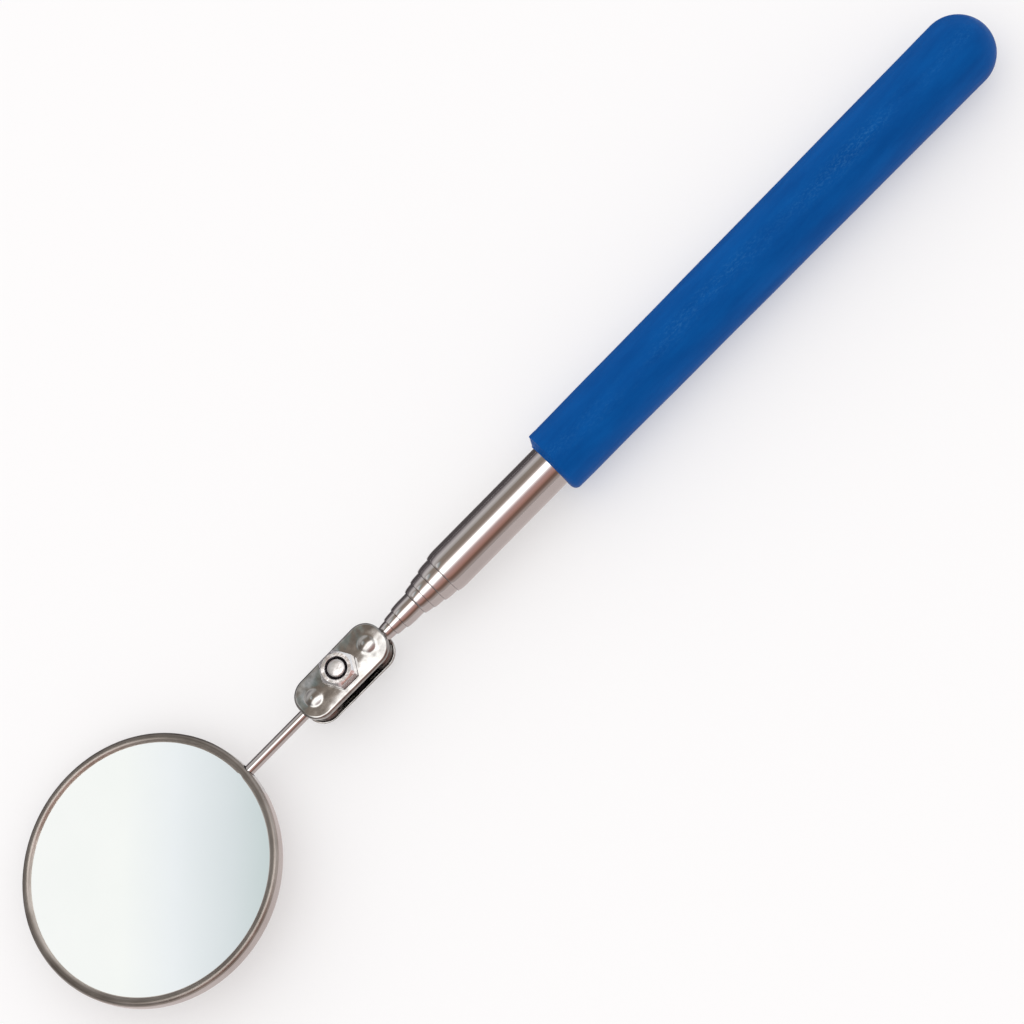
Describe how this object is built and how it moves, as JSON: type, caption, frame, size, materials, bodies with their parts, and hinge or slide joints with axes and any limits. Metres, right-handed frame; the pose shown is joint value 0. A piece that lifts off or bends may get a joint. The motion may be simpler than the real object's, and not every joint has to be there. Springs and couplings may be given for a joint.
{
  "type": "telescoping inspection mirror",
  "caption": "Round mirror in a rolled metal rim, on a double-ball swivel at the end of a telescoping chromed tube with a domed blue vinyl grip.",
  "frame": {"origin": "on the tool's axis, in the middle of the outer tube's bare stretch in front of the grip", "axes": "+X along the tool towards the grip's domed butt, +Z normal to the swivel plates on the side of the clamp nut, +Y completes the frame; stored with the telescope pushed in and the swivel straight"},
  "size_m": [0.271, 0.0568, 0.016],
  "materials": {
    "grip_vinyl": "soft satin vinyl",
    "tube_chrome": "polished chrome plate",
    "bush_brass": "plain spring brass",
    "plate_nickel": "bright nickel plate, slightly wavy",
    "screw_steel": "zinc-plated steel",
    "ball_steel": "turned steel",
    "case_chrome": "polished spun sheet",
    "mirror_glass": "silvered glass",
    "pad_card": "grey card"
  },
  "bodies": {
    "handle": {"grip": "grip_vinyl", "outer_tube": "tube_chrome", "rear_plug": "bush_brass"},
    "section_2": {"section_2": "tube_chrome", "bush_2": "bush_brass"},
    "section_3": {"section_3": "tube_chrome", "bush_3": "bush_brass"},
    "section_4": {"section_4": "tube_chrome", "bush_4": "bush_brass"},
    "section_5": {"section_5": "tube_chrome", "bush_5": "bush_brass"},
    "section_6": {"section_6": "tube_chrome", "bush_6": "bush_brass"},
    "section_7": {"section_7": "tube_chrome", "bush_7": "bush_brass", "tip_stem": "ball_steel"},
    "tip_ball": {"tip_ball": "ball_steel"},
    "swivel": {"front_plate": "plate_nickel", "back_plate": "plate_nickel", "clamp_screw": "screw_steel", "clamp_nut": "screw_steel"},
    "mirror_ball": {"mirror_ball": "ball_steel"},
    "mirror_head": {"mirror_rod": "tube_chrome", "mirror_case": "case_chrome", "mirror_glass": "mirror_glass", "backing_pad": "pad_card"}
  },
  "joints": [
    {"name": "slide_2", "type": "slide", "parent": "handle", "child": "section_2", "axis": [-1, 0, 0], "range_m": [0, 0.102]},
    {"name": "slide_3", "type": "slide", "parent": "section_2", "child": "section_3", "axis": [-1, 0, 0], "range_m": [0, 0.1052]},
    {"name": "slide_4", "type": "slide", "parent": "section_3", "child": "section_4", "axis": [-1, 0, 0], "range_m": [0, 0.1078]},
    {"name": "slide_5", "type": "slide", "parent": "section_4", "child": "section_5", "axis": [-1, 0, 0], "range_m": [0, 0.11]},
    {"name": "slide_6", "type": "slide", "parent": "section_5", "child": "section_6", "axis": [-1, 0, 0], "range_m": [0, 0.1146]},
    {"name": "slide_7", "type": "slide", "parent": "section_6", "child": "section_7", "axis": [-1, 0, 0], "range_m": [0, 0.117]},
    {"name": "tip_spin", "type": "hinge", "parent": "section_7", "child": "tip_ball", "pos_m": [-0.0365, 0, 0], "axis": [1, 0, 0], "continuous": true},
    {"name": "tip_swing", "type": "hinge", "parent": "tip_ball", "child": "swivel", "pos_m": [-0.0365, 0, 0], "axis": [0, 0, 1], "range_deg": [-100, 100]},
    {"name": "head_swing", "type": "hinge", "parent": "swivel", "child": "mirror_ball", "pos_m": [-0.0518, 0, 0], "axis": [0, 0, -1], "range_deg": [-120, 120]},
    {"name": "head_spin", "type": "hinge", "parent": "mirror_ball", "child": "mirror_head", "pos_m": [-0.0518, 0, 0], "axis": [1, 0, 0], "continuous": true}
  ]
}
